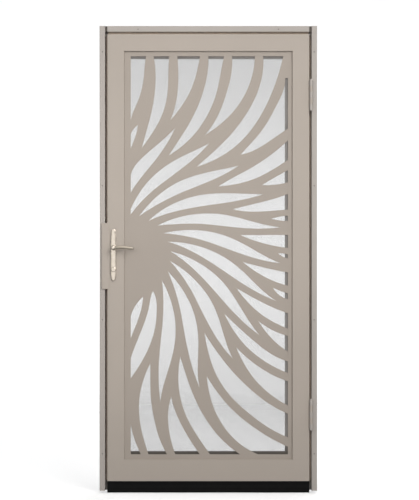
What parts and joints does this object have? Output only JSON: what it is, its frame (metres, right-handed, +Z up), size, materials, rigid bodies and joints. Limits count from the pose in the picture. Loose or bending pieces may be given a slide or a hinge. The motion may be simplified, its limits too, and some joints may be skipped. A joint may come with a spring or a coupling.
{
  "type": "steel security door",
  "caption": "Hinged steel security door in a surface-mounted frame, with a laser-cut sunburst sheet over an insect screen and a lever handle.",
  "frame": {"origin": "on the wall plane, in the middle of the doorway, level with the feet of the jambs", "axes": "+Z up, +X towards the hinges, -Y towards the outside; the wall's face is the plane y = 0 and the door stands in front of it"},
  "size_m": [0.976, 0.1304, 2.093],
  "materials": {
    "frame_paint": "satin powder coat, pale greige",
    "leaf_paint": "satin powder coat, warm greige",
    "brass": "polished pale brass",
    "bright_steel": "zinc-plated",
    "black_rubber": "matt black",
    "black_plastic": "matt black",
    "screen_mesh": "fine woven grey mesh, mostly open",
    "grey_vinyl": "matt grey extruded vinyl",
    "tan_vinyl": "matt tan extruded vinyl"
  },
  "bodies": {
    "frame": {"mounting_flange": "frame_paint", "latch_jamb": "frame_paint", "hinge_jamb": "frame_paint", "header": "frame_paint", "strike_plate": "bright_steel", "latch_weatherstrip": "tan_vinyl", "hinge_weatherstrip": "tan_vinyl", "header_weatherstrip": "tan_vinyl", "upper_hinge_jamb_plate": "frame_paint", "lower_hinge_jamb_plate": "frame_paint", "upper_hinge_pin": "frame_paint", "lower_hinge_pin": "frame_paint"},
    "leaf": {"upper_hinge_leaf_plate": "leaf_paint", "lower_hinge_leaf_plate": "leaf_paint", "latch_stile": "leaf_paint", "hinge_stile": "leaf_paint", "top_rail": "leaf_paint", "bottom_rail": "leaf_paint", "sunburst_sheet": "leaf_paint", "latch_guard": "leaf_paint", "screen_bar_top": "leaf_paint", "screen_bar_bottom": "leaf_paint", "screen_bar_latch": "leaf_paint", "screen_bar_hinge": "leaf_paint", "screen_gasket": "grey_vinyl", "insect_screen": "screen_mesh", "screen_clips": "bright_steel", "sweep_carrier": "black_plastic", "bottom_sweep": "black_rubber", "lock_face_plate": "brass", "latch_bolt": "brass", "dead_bolt": "brass", "outside_lock_plate": "brass", "inside_lock_plate": "brass", "key_cylinder": "brass", "turn_knob": "brass", "lock_plate_screws": "brass"},
    "lever": {"outside_lever": "brass", "inside_lever": "brass", "lever_spindle": "bright_steel"}
  },
  "joints": [
    {"name": "leaf_swing", "type": "hinge", "parent": "frame", "child": "leaf", "pos_m": [0.4605, -0.0505, 1.06], "axis": [0, 0, 1], "range_deg": [0, 170]},
    {"name": "lever_turn", "type": "hinge", "parent": "leaf", "child": "lever", "pos_m": [-0.425, -0.027, 1.09], "axis": [0, 1, 0], "range_deg": [0, 42], "stiffness_Nm_per_rad": 1.2, "springref_deg": -20.05}
  ]
}
